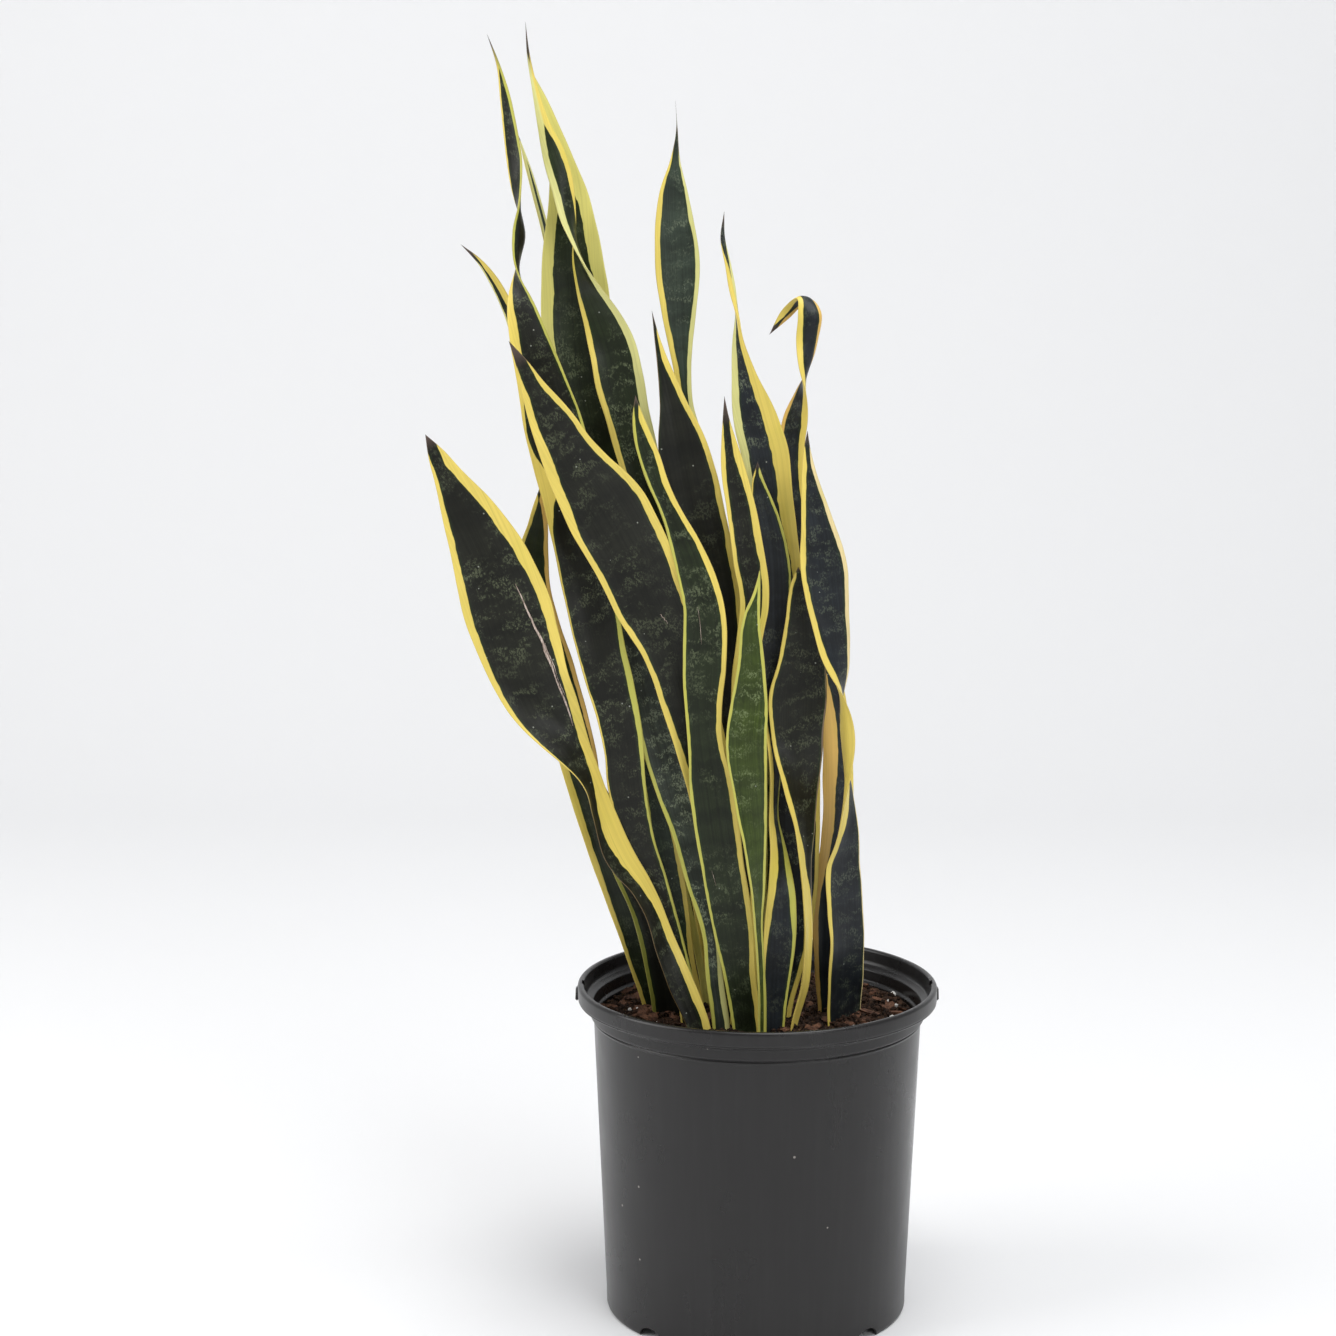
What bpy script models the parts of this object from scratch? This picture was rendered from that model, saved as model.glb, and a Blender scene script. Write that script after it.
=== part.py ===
"""Potted snake plant: a turned black nursery pot, its soil, and twenty-one sword leaves.

Metres, +Z up. The origin is the centre of the pot's base pad, on the floor; the plant's
best side faces -Y. Leaf tables and turned profiles are in millimetres and scaled by MM.
"""

import math

import bmesh
import bpy
import numpy as np

MM = 0.001

# Pot: an ordinary ten-inch grower pot.
RIM_RADIUS = 127.0
POT_HEIGHT = 236.0
LIP_HEIGHT = 12.0
BAND_RADIUS = 118.2
BAND_HEIGHT = 11.0
WALL_TOP_RADIUS = 115.6
BASE_RADIUS = 106.7
WALL = 2.6
FLOOR_UNDERSIDE = 10.0
PAD_RADIUS = 44.0
TURN_STEPS = 64
ARCH_COUNT = 8
ARCH_WIDTH = 22.0
ARCH_HEIGHT = 8.0
NOTCH_SIZE = (5.0, 9.0, 7.0)

# Soil: fills the pot to a little under the rim.
SOIL_TOP = 213.0
SOIL_GAP = 0.4
FOOT_BOTTOM = 188.0
FOOT_GAP = 0.6
FOOT_LEAN = 0.3

# Leaves: blade cross-section, as shares of the half width, and its rings.
BLADE_THICKNESS = 2.6
FOOT_THICKNESS = 4.2
CHANNEL = 0.20
RINGS = 32
FOOT_TAPER = 7.0

# Each leaf is (height, across, depth, half width, turn) from the soil up to the tip, in mm
# and degrees. Turn 0 faces -Y; at -90 the blade's right edge points at -Y.
LEAVES = {
    "leaf_tall_twisted_left": [
        (214, -47, -22, 7, 0), (278, -61, -18, 7, 0), (316, -73, -18, 9, 0),
        (350, -85, -20, 11, 0), (379, -91, -22, 13, 0), (414, -94, -24, 14, 0),
        (484, -110, -24, 17, 0), (552, -124, -15, 18, 0), (593, -132, -9, 20, 0),
        (633, -142, -6, 20, 0), (674, -153, -5, 15, 0), (701, -160, -5, 12, -18),
        (722, -164, -3, 9, -42), (738, -165, 0, 8, -92), (753, -163, 3, 8, -125),
        (772, -164, 5, 7, -97), (792, -165, 6, 7, -50), (815, -167, 6, 6, -30),
        (839, -171, 6, 5, -25), (858, -174, 6, 3, -20), (874, -178, 6, 1, 0),
        (893, -185, 6, 0, 0),
    ],
    "leaf_tallest_whip": [
        (214, -25, -2, 8, 0), (295, -34, 0, 12, 0), (367, -45, 2, 15, 0),
        (437, -54, 4, 17, 0), (508, -66, 5, 17, 0), (563, -73, 6, 15, 0),
        (633, -90, 6, 15, 0), (667, -98, 6, 17, 0), (694, -104, 7, 15, -5),
        (714, -113, 8, 12, -36), (736, -121, 8, 13, -64), (754, -126, 8, 10, -92),
        (772, -130, 8, 9, -130), (790, -134, 8, 8, -158), (811, -140, 8, 8, -178),
        (829, -146, 8, 5, -180), (843, -150, 8, 3, -180), (857, -153, 8, 2, -180),
        (878, -157, 8, 1, -180), (901, -159, 8, 0, -180),
    ],
    "leaf_broad_yellow_back": [
        (214, -30, 22, 8, 0), (290, -40, 22, 13, 0), (362, -56, 22, 16, 0),
        (434, -71, 22, 20, 0), (505, -87, 22, 23, 0), (576, -104, 22, 23, 0),
        (640, -119, 22, 22, 0), (693, -126, 23, 24, 0), (721, -127, 24, 23, 0),
        (748, -129, 25, 20, 0), (774, -130, 26, 16, 0), (796, -133, 27, 11, 0),
        (818, -139, 28, 7, 0), (836, -144, 29, 5, 0), (852, -150, 30, 3, 0),
        (867, -155, 30, 0, 0),
    ],
    "leaf_thin_edge_back": [
        (214, -16, 46, 7, 60), (358, -42, 46, 10, 60), (502, -80, 46, 11, 60),
        (643, -119, 46, 10, 60), (713, -137, 46, 8, 60), (758, -148, 45, 5, 60),
        (804, -160, 44, 3, 60), (826, -166, 44, 0, 60),
    ],
    "leaf_small_hooked_left": [
        (214, -41, 40, 6, 0), (322, -63, 40, 9, 0), (431, -89, 40, 11, 0),
        (539, -119, 39, 11, 0), (609, -141, 37, 9, 0), (658, -156, 36, 7, 0),
        (693, -168, 34, 5, 0), (713, -176, 33, 4, 0), (731, -186, 32, 3, 0),
        (739, -192, 31, 2, 0), (752, -206, 30, 0, 0),
    ],
    "leaf_front_diagonal": [
        (214, -22, -33, 6, 0), (303, -21, -33, 9, 0), (361, -30, -35, 14, 0),
        (403, -38, -36, 17, 0), (445, -49, -36, 19, 0), (486, -61, -37, 22, 0),
        (511, -73, -38, 25, 0), (542, -86, -40, 27, 0), (576, -104, -43, 28, 0),
        (610, -127, -46, 20, 0), (637, -141, -48, 15, 0), (657, -152, -49, 9, 0),
        (672, -159, -50, 5, 0), (682, -164, -50, 2, 0), (690, -169, -50, 0, 0),
    ],
    "leaf_front_s_curve": [
        (214, -8, -47, 10, 0), (250, -13, -47, 11, 0), (293, -19, -47, 14, 0),
        (335, -26, -47, 15, 0), (384, -33, -47, 15, 0), (422, -38, -47, 12, 0),
        (447, -39, -47, 13, 0), (481, -38, -47, 15, 0), (512, -39, -47, 14, 0),
        (535, -45, -46, 12, 0), (554, -52, -45, 10, 0), (575, -61, -44, 7, 0),
        (595, -70, -42, 7, 0), (613, -76, -40, 7, 0), (632, -82, -38, 5, 0),
        (653, -85, -36, 0, 0),
    ],
    "leaf_mottled_narrow": [
        (214, -26, -42, 6, 0), (252, -31, -41, 6, 0), (279, -34, -40, 5, 0),
        (318, -44, -34, 7, 0), (352, -52, -27, 9, 0), (386, -61, -19, 13, 0),
        (413, -68, -14, 14, 0), (441, -75, -12, 12, 0), (468, -82, -11, 11, 0),
        (496, -90, -11, 8, 0), (521, -100, -11, 0, 0),
    ],
    "leaf_left_rear": [
        (214, -73, 17, 8, 0), (240, -80, 16, 9, 0), (270, -88, 15, 11, 0),
        (299, -97, 14, 12, 0), (336, -110, 13, 12, 0), (372, -121, 12, 12, 0),
        (408, -129, 11, 14, 0), (451, -141, 10, 15, 0), (486, -150, 9, 13, 0),
        (514, -155, 8, 11, 0), (542, -156, 8, 10, 0), (560, -153, 8, 7, 0),
        (574, -152, 8, 4, 0), (585, -152, 8, 0, 0),
    ],
    "leaf_left_leaning": [
        (214, -41, -46, 8, 0), (246, -54, -43, 9, 10), (270, -64, -41, 9, 30),
        (290, -72, -39, 10, 48), (308, -80, -37, 12, 55), (332, -96, -35, 13, 42),
        (357, -107, -34, 13, 50), (381, -115, -33, 13, 62), (400, -124, -32, 14, 48),
        (419, -136, -31, 18, 25), (451, -153, -30, 25, 0), (478, -163, -30, 28, 0),
        (513, -174, -30, 30, 0), (547, -186, -30, 25, 0), (574, -199, -30, 18, 0),
        (602, -214, -30, 9, 0), (615, -221, -30, 5, 0), (626, -227, -30, 0, 0),
    ],
    "leaf_left_inner": [
        (214, -62, 0, 12, 0), (252, -68, -1, 12, 0), (288, -78, -2, 11, 0),
        (325, -93, -4, 11, 0), (354, -104, -5, 9, 0), (383, -115, -6, 5, 0),
        (411, -127, -6, 0, 0),
    ],
    "leaf_pale_narrow": [
        (214, -43, -5, 6, 0), (253, -50, -7, 6, 0), (297, -57, -8, 8, 0),
        (333, -64, -8, 9, 0), (369, -71, -8, 7, 0), (394, -78, -8, 4, 0),
        (415, -82, -8, 0, 0),
    ],
    "leaf_right_upper_broad": [
        (214, -3, 28, 8, 0), (362, -13, 26, 11, 0), (505, -32, 24, 11, 0),
        (576, -40, 22, 9, 0), (618, -46, 20, 7, 0), (645, -51, 20, 5, 0),
        (666, -53, 20, 6, 0), (693, -55, 20, 10, 0), (721, -56, 20, 14, 0),
        (748, -57, 20, 15, 0), (775, -59, 20, 12, 0), (795, -59, 20, 8, 0),
        (810, -58, 20, 3, 0), (822, -57, 20, 1, 0), (850, -58, 20, 0, 0),
    ],
    "leaf_dark_centre": [
        (214, -9, -12, 6, 0), (298, -12, -13, 8, 0), (370, -16, -14, 10, 0),
        (441, -24, -15, 15, 0), (511, -32, -16, 19, 0), (552, -40, -16, 20, 0),
        (580, -46, -16, 20, 0), (621, -54, -16, 16, 0), (648, -60, -16, 9, 0),
        (668, -65, -16, 5, 0), (688, -70, -16, 2, 0), (709, -74, -16, 0, 0),
    ],
    "leaf_purple_tip": [
        (214, -6, -30, 5, 0), (303, -8, -30, 7, 0), (374, -10, -30, 9, 0),
        (430, -10, -30, 10, 0), (465, -10, -30, 9, 0), (489, -7, -30, 9, 0),
        (513, -4, -30, 10, 0), (542, -8, -30, 11, 0), (574, -13, -30, 10, 0),
        (603, -19, -30, 8, 0), (622, -22, -30, 5, 0), (638, -24, -30, 2, 0),
        (652, -25, -30, 0, 0),
    ],
    "leaf_green_front": [
        (214, 1, -62, 6, 62), (261, 0, -61, 6, 64), (293, -2, -60, 6, 60),
        (318, -3, -60, 8, 50), (352, -5, -60, 10, 35), (387, -8, -60, 12, 12),
        (421, -10, -60, 14, 0), (449, -8, -60, 12, 0), (476, -7, -60, 9, 0),
        (504, -7, -60, 6, 0), (524, -3, -60, 2, 0), (541, -1, -60, 0, 0),
    ],
    "leaf_wide_yellow_right": [
        (214, 14, -4, 10, 0), (260, 19, -4, 16, 0), (297, 22, -4, 19, 0), (369, 23, -4, 20, 0),
        (440, 22, -3, 18, 0), (496, 18, -2, 15, 0), (537, 14, -2, 14, 0),
        (579, 8, -3, 15, 0), (613, 3, -4, 16, 0), (633, -3, -5, 15, 0),
        (668, -11, -5, 9, -30), (691, -15, -5, 6, -60), (707, -16, -5, 5, -92),
        (722, -19, -5, 3, -135), (749, -24, -5, 2, -160), (765, -27, -5, 1, -180),
        (775, -25, -5, 0, -180),
    ],
    "leaf_bluish_right": [
        (214, 11, -40, 7, 0), (244, 12, -38, 9, 0), (272, 14, -37, 11, 0),
        (293, 15, -36, 11, 0), (318, 14, -34, 10, 30), (338, 12, -31, 9, 50),
        (362, 9, -27, 8, 66), (393, 10, -23, 8, 58), (427, 10, -18, 9, 30),
        (455, 11, -15, 10, 5), (497, 10, -14, 11, 0), (531, 9, -14, 12, 0),
        (559, 6, -15, 10, 0), (580, 1, -16, 7, 0), (597, -2, -16, 3, 0),
        (606, -2, -16, 0, 0),
    ],
    "leaf_right_centre_dark": [
        (214, 24, -40, 7, 68), (244, 31, -38, 7, 66), (269, 33, -36, 7, 66),
        (297, 33, -34, 8, 68), (324, 31, -31, 9, 64), (345, 30, -29, 11, 55),
        (362, 29, -27, 13, 48), (393, 27, -24, 16, 25), (418, 26, -23, 18, 0),
        (442, 26, -23, 20, 0), (470, 29, -23, 16, 0), (498, 29, -23, 12, 0),
        (515, 27, -23, 8, 0), (527, 26, -23, 4, 0), (535, 26, -23, 0, 0),
    ],
    "leaf_right_outer": [
        (214, 59, -10, 19, 50), (237, 59, -12, 19, 46), (271, 60, -14, 17, 42),
        (299, 59, -16, 16, 38), (324, 57, -19, 15, 35), (343, 59, -22, 13, 45),
        (362, 60, -25, 12, 62), (380, 60, -27, 12, 78), (408, 59, -29, 12, 106),
        (430, 57, -31, 12, 108), (443, 56, -32, 11, 96), (458, 54, -33, 11, 62),
        (479, 50, -34, 12, 28), (507, 46, -34, 14, 5), (534, 43, -34, 16, 0),
        (561, 39, -34, 12, 0), (589, 34, -34, 7, 0), (612, 31, -34, 3, 0),
        (629, 31, -34, 0, 0),
    ],
    "leaf_bent_tip_right": [
        (214, 50, 10, 8, 30), (254, 48, 8, 10, 30), (290, 48, 6, 12, 25),
        (340, 54, 2, 12, 25), (382, 55, 0, 12, 25), (426, 53, 0, 10, 20),
        (466, 46, 1, 9, 20), (508, 37, 2, 8, 15), (543, 30, 4, 8, 0),
        (577, 24, 6, 9, 0), (612, 22, 8, 9, 0), (632, 25, 9, 9, -20),
        (649, 29, 10, 8, -60), (660, 31, 10, 8, -92), (672, 32, 10, 8, -130),
        (690, 33, 10, 8, -170), (708, 34, 10, 8, -180), (717, 33, 15, 7.5, -180),
        (713, 27, 22, 6, -180), (703, 17, 26, 3.5, -180), (690, 7, 27, 0, -180),
    ],
}


def clear_scene():
    for obj in list(bpy.data.objects):
        bpy.data.objects.remove(obj, do_unlink=True)


def new_collection(name):
    collection = bpy.data.collections.new(name)
    bpy.context.scene.collection.children.link(collection)
    return collection


def principled(name, colour, roughness):
    material = bpy.data.materials.new(name)
    material.use_nodes = True
    shader = material.node_tree.nodes["Principled BSDF"]
    shader.inputs["Base Color"].default_value = (*colour, 1.0)
    shader.inputs["Roughness"].default_value = roughness
    shader.inputs["Metallic"].default_value = 0.0
    return material


def object_from_bmesh(name, bm, collection, material=None):
    mesh = bpy.data.meshes.new(name)
    bm.to_mesh(mesh)
    bm.free()
    obj = bpy.data.objects.new(name, mesh)
    collection.objects.link(obj)
    if material:
        mesh.materials.append(material)
    return obj


def make_cutter(name, bm, collection):
    cutter = object_from_bmesh(name, bm, collection)
    cutter.display_type = "WIRE"
    cutter.hide_render = True
    return cutter


def cut(obj, cutter):
    boolean = obj.modifiers.new(cutter.name, "BOOLEAN")
    boolean.operation = "DIFFERENCE"
    boolean.object = cutter


def turned(name, profile, collection, material):
    """A solid turned about Z from (radius, height) points in mm that start and end on the axis."""
    bm = bmesh.new()
    points = [bm.verts.new((radius * MM, 0.0, height * MM)) for radius, height in profile]
    for start, end in zip(points, points[1:]):
        bm.edges.new((start, end))
    obj = object_from_bmesh(name, bm, collection, material)
    screw = obj.modifiers.new("turn", "SCREW")
    screw.axis = "Z"
    screw.steps = TURN_STEPS
    screw.render_steps = TURN_STEPS
    screw.use_merge_vertices = True
    screw.merge_threshold = 0.00001
    return obj


def pot_profile():
    """From the middle of the floor's top, up the inside, over the rim and down the outside."""
    band_top = POT_HEIGHT - LIP_HEIGHT
    band_bottom = band_top - BAND_HEIGHT
    floor_top = FLOOR_UNDERSIDE + WALL
    inside = [
        (0.0, WALL), (PAD_RADIUS + 1.0, WALL), (PAD_RADIUS + 5.0, floor_top),
        (BASE_RADIUS - WALL, floor_top), (WALL_TOP_RADIUS - WALL, band_bottom),
        (BAND_RADIUS - WALL - 0.4, band_bottom + 1.5), (BAND_RADIUS - WALL, band_top),
        (RIM_RADIUS - 5.2, band_top + 1.8), (RIM_RADIUS - 4.4, POT_HEIGHT - 1.0),
        (RIM_RADIUS - 3.4, POT_HEIGHT),
    ]
    outside = [
        (RIM_RADIUS - 1.2, POT_HEIGHT), (RIM_RADIUS, POT_HEIGHT - 1.2),
        (RIM_RADIUS, band_top + 1.2), (RIM_RADIUS - 1.2, band_top),
        (BAND_RADIUS + 0.6, band_top), (BAND_RADIUS, band_top - 0.8),
        (BAND_RADIUS, band_bottom + 0.8), (WALL_TOP_RADIUS, band_bottom - 0.6),
        (BASE_RADIUS + 0.3, 2.0), (BASE_RADIUS - 0.7, 0.0), (BASE_RADIUS - WALL, 0.0),
        (BASE_RADIUS - WALL - 0.4, FLOOR_UNDERSIDE), (PAD_RADIUS + 4.0, FLOOR_UNDERSIDE),
        (PAD_RADIUS, 0.0), (0.0, 0.0),
    ]
    return inside + outside


def arch_cutter(collection):
    """Half-round drain arches through the skirt, evenly spaced round the base."""
    bm = bmesh.new()
    for index in range(ARCH_COUNT):
        made = bmesh.ops.create_cone(
            bm, cap_ends=True, segments=16, radius1=0.5, radius2=0.5, depth=1.0
        )
        for vert in made["verts"]:
            along, across, up = vert.co.z, vert.co.x, vert.co.y
            radial = (BASE_RADIUS - WALL / 2 + along * 5.0 * WALL) * MM
            sideways = across * ARCH_WIDTH * MM
            angle = math.tau * index / ARCH_COUNT
            vert.co.x = radial * math.sin(angle) + sideways * math.cos(angle)
            vert.co.y = -radial * math.cos(angle) + sideways * math.sin(angle)
            vert.co.z = up * 2.0 * ARCH_HEIGHT * MM
    bmesh.ops.recalc_face_normals(bm, faces=bm.faces)
    return make_cutter("drain_arch_cutter", bm, collection)


def notch_cutter(collection):
    """Two hanger slots in the inside of the lip, at its left and right."""
    bm = bmesh.new()
    radial, sideways, deep = NOTCH_SIZE
    for side in (-1, 1):
        made = bmesh.ops.create_cube(bm, size=1.0)
        for vert in made["verts"]:
            vert.co.x = (side * (RIM_RADIUS - 5.5) + vert.co.x * radial) * MM
            vert.co.y = vert.co.y * sideways * MM
            vert.co.z = (POT_HEIGHT + vert.co.z * deep) * MM
    return make_cutter("hanger_notch_cutter", bm, collection)


def make_pot(parts, cutters):
    plastic = principled("black_nursery_plastic", (0.028, 0.028, 0.032), 0.45)
    pot = turned("nursery_pot", pot_profile(), parts, plastic)
    cut(pot, arch_cutter(cutters))
    cut(pot, notch_cutter(cutters))


def soil_profile():
    """The plug of soil, from the middle of its top down the outside to the pot's floor."""
    wall_run = (WALL_TOP_RADIUS - BASE_RADIUS) / (POT_HEIGHT - LIP_HEIGHT - BAND_HEIGHT)
    floor_top = FLOOR_UNDERSIDE + WALL
    low_radius = BASE_RADIUS - WALL - 2 * SOIL_GAP
    top_radius = low_radius + wall_run * (SOIL_TOP - floor_top) * 0.99
    return [
        (0.0, SOIL_TOP), (top_radius - 3.0, SOIL_TOP), (top_radius, SOIL_TOP - 1.5),
        (low_radius, floor_top + SOIL_GAP), (PAD_RADIUS + 4.0, floor_top + SOIL_GAP),
        (PAD_RADIUS, WALL + SOIL_GAP), (0.0, WALL + SOIL_GAP),
    ]


def smooth_curve(knots, values, at):
    """A cubic through the values, whose slope at each knot is the mean of its neighbours'."""
    slopes = np.gradient(values, knots, axis=0)
    index = np.clip(np.searchsorted(knots, at, side="right") - 1, 0, len(knots) - 2)
    span = (knots[index + 1] - knots[index])[:, None]
    t = (at - knots[index])[:, None] / span
    ends = (2 * t**3 - 3 * t**2 + 1) * values[index] + (3 * t**2 - 2 * t**3) * values[index + 1]
    bends = (t**3 - 2 * t**2 + t) * slopes[index] + (t**3 - t**2) * slopes[index + 1]
    return ends + bends * span


def leaf_stations(rows):
    """The leaf's rows, with its planted foot added below the soil."""
    table = np.array(rows, float)
    height, across, depth, half_width, turn = table[0]
    lean = (table[1, 1:3] - table[0, 1:3]) / (table[1, 0] - table[0, 0])
    drop = (height - FOOT_BOTTOM) * FOOT_LEAN
    foot = (FOOT_BOTTOM, across - lean[0] * drop, depth - lean[1] * drop, half_width * 0.9, turn)
    return np.vstack([foot, table])


def leaf_rings(rows, count):
    """Centres, half widths and turns at evenly spread places along the leaf, in mm."""
    table = leaf_stations(rows)
    run = np.linalg.norm(np.diff(table[:, :3], axis=0), axis=1)
    knots = np.concatenate([[0.0], np.cumsum(run)])
    at = np.linspace(0.0, knots[-1], count + 1)
    curve = smooth_curve(knots, table, at)
    centres = curve[:, [1, 2, 0]]
    half_widths = np.maximum(curve[:, 3], 0.5)
    return centres, half_widths, np.radians(curve[:, 4])


def blade_axes(centres, turns):
    """Each ring's width and face directions, square to the leaf's run."""
    runs = np.gradient(centres, axis=0)
    runs /= np.linalg.norm(runs, axis=1)[:, None]
    wide = np.stack([np.cos(turns), np.sin(turns), np.zeros_like(turns)], axis=1)
    wide -= runs * np.sum(wide * runs, axis=1)[:, None]
    wide /= np.linalg.norm(wide, axis=1)[:, None]
    return wide, np.cross(wide, runs)


def blade_section(half_width, thickness, grow):
    """A shallow channel with thin edges, grown all round: (sideways, towards the face) in mm."""
    cup = CHANNEL * half_width
    half = min(thickness / 2, 0.45 * half_width)
    swell = 0.9 * half + grow
    front = [(-0.5, 0.3 * cup + swell), (0.0, half + grow), (0.5, 0.3 * cup + swell)]
    back = [(0.5, 0.3 * cup - swell), (0.0, -half - grow), (-0.5, 0.3 * cup - swell)]
    edge = cup + 0.6 * grow
    outline = [(-1.0, edge)] + front + [(1.0, edge)] + back
    return [(share * (half_width + 2 * grow), out) for share, out in outline]


def section_rings(centres, half_widths, turns, grow=0.0):
    wide, face = blade_axes(centres, turns)
    rings = []
    for index, centre in enumerate(centres):
        near_foot = math.exp(-FOOT_TAPER * index / RINGS)
        thickness = BLADE_THICKNESS + (FOOT_THICKNESS - BLADE_THICKNESS) * near_foot
        section = blade_section(half_widths[index], thickness, grow)
        rings.append([centre + across * wide[index] + out * face[index] for across, out in section])
    return rings


def add_loft(bm, rings, tip=None):
    """Skins a closed solid over rings of points that share a count, to a tip point if given.

    The front and the back are cut along the same diagonals, so that a twisted blade keeps its
    thickness.
    """
    rows = [[bm.verts.new(point * MM) for point in ring] for ring in rings]
    size = len(rows[0])
    bm.faces.new(rows[0])
    for low, high in zip(rows, rows[1:]):
        for a in range(size):
            b = (a + 1) % size
            if a < size // 2:
                bm.faces.new((low[b], low[a], high[a]))
                bm.faces.new((low[b], high[a], high[b]))
            else:
                bm.faces.new((low[b], low[a], high[b]))
                bm.faces.new((low[a], high[a], high[b]))
    if tip is None:
        bm.faces.new(list(reversed(rows[-1])))
        return
    end = bm.verts.new(tip * MM)
    for a in range(size):
        bm.faces.new((rows[-1][(a + 1) % size], rows[-1][a], end))


def make_leaf(name, rows, parts, material):
    centres, half_widths, turns = leaf_rings(rows, RINGS)
    rings = section_rings(centres, half_widths, turns)
    bm = bmesh.new()
    add_loft(bm, rings[:-1], centres[-1])
    bmesh.ops.recalc_face_normals(bm, faces=bm.faces)
    leaf = object_from_bmesh(name, bm, parts, material)
    leaf.data.shade_smooth()


def add_foot_pocket(bm, rows):
    """The leaf's foot, grown by the gap all round, as a hole for the soil."""
    centres, half_widths, turns = leaf_rings(rows, RINGS)
    buried = int(np.searchsorted(centres[:, 2], SOIL_TOP + 3.0)) + 1
    rings = section_rings(centres, half_widths, turns, FOOT_GAP)[:buried]
    run = (centres[1] - centres[0]) / np.linalg.norm(centres[1] - centres[0])
    rings[0] = [point - FOOT_GAP * run for point in rings[0]]
    add_loft(bm, rings)


def make_soil(parts, cutters):
    earth = principled("potting_soil", (0.055, 0.032, 0.02), 0.95)
    soil = turned("potting_soil", soil_profile(), parts, earth)
    bm = bmesh.new()
    for rows in LEAVES.values():
        add_foot_pocket(bm, rows)
    bmesh.ops.recalc_face_normals(bm, faces=bm.faces)
    cut(soil, make_cutter("foot_pocket_cutter", bm, cutters))


def main():
    clear_scene()
    parts = new_collection("potted_snake_plant")
    cutters = new_collection("cutters")
    make_pot(parts, cutters)
    make_soil(parts, cutters)
    for name, rows in LEAVES.items():
        green = principled(name + "_skin", (0.035, 0.062, 0.038), 0.42)
        make_leaf(name, rows, parts, green)


main()
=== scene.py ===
"""Potted snake plant: waxy variegated blades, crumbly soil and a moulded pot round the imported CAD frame."""

import math

import bmesh
import bpy
import numpy as np
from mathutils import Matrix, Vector, noise


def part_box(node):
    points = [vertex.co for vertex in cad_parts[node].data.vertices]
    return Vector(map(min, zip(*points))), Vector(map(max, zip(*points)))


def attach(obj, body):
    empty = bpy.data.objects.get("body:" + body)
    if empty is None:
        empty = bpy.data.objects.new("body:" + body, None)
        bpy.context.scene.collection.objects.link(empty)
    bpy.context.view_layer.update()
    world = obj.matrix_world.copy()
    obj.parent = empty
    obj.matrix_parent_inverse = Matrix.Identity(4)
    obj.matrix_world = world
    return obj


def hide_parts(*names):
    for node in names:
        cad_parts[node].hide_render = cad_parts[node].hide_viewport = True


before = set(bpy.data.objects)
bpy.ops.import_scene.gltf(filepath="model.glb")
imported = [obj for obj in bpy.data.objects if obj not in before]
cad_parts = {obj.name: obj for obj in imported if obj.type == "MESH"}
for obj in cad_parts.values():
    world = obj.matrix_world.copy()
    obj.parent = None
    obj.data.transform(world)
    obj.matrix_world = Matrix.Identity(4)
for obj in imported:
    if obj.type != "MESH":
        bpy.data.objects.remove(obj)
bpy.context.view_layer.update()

MM = 0.001
POT_LOW, POT_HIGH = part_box("nursery_pot")
SOIL_LOW, SOIL_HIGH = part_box("potting_soil")
RIM_RADIUS = (POT_HIGH[0] - POT_LOW[0]) / 2
POT_TOP = POT_HIGH[2]
SOIL_TOP = SOIL_HIGH[2]
SOIL_RADIUS = (SOIL_HIGH[0] - SOIL_LOW[0]) / 2

# Blade resolution: rings along the leaf, points round each ring, and how much the rings crowd
# towards the tip (1 is evenly spaced).
BLADE_RINGS = 200
BLADE_AROUND = 36
TIP_CROWDING = 1.15
BLADE_HALF_THICKNESS = 1.2 * MM

# How far a blade's half thickness falls off towards its edges, as a share.
EDGE_THINNING = 0.55

# Its half thickness is at most this share of its half width, and its faces round off into its edges by
# this power of a sine.
MOST_PLUMP = 0.40
SIDE_POWER = 0.45

# A blade's waves, in metres: two ripples of the edges and the fine folds of the face. Both shrink
# where the blade's half width is under the one given, and the ripples go on growing beyond it up to
# RIPPLE_MOST times.
RIPPLE_LENGTHS = (0.085, 0.037)
RIPPLE_HEIGHT = 0.45 * MM
FULL_RIPPLE_HALF_WIDTH = 12 * MM
RIPPLE_MOST = 1.3
FOLD_HEIGHT = 0.10 * MM
FULL_FOLD_HALF_WIDTH = 10 * MM

# Each leaf's pattern is taken this much further into the noise than the last one's.
PATTERN_STEP = 0.731

# Soil bed: rings and spokes of its surface, and how far its underside lies below its top, in metres.
SOIL_RINGS = 70
SOIL_SPOKES = 200
SOIL_DEPTH = 0.03

# How many loose bits lie on the soil, besides those in plain sight.
CRUMBS = 2600
FINE_GRAINS = 2600
BARK_CHIPS = 150
PERLITE_GRAINS = 26

# Pot: steps round it, and its moulded sizes in mm. Drops go down from the rim's top, insets go in
# from its radius, and the floor's two heights go up from the ground.
POT_STEPS = 224
WALL = 2.6
LIP_DROP = 12.0
BAND_DROP = 23.0
BAND_INSET = 8.8
WALL_INSET = 11.4
BASE_INSET = 20.3
FLOOR_TOP = 12.6
FLOOR_UNDERSIDE = 10.0
PAD_RADIUS = 44.0

# Drain arches, in mm: each is the upper half of an ellipse cut through the skirt.
ARCH_COUNT = 8
ARCH_INSET = 21.6
ARCH_CUT_DEPTH = 12
ARCH_WIDTH = 22
ARCH_ELLIPSE_HEIGHT = 16

# Hanger slots in the lip, in mm, as the box that cuts each one.
SLOT_INSET = 5.5
SLOT_BOX = (5, 9, 7)

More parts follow.
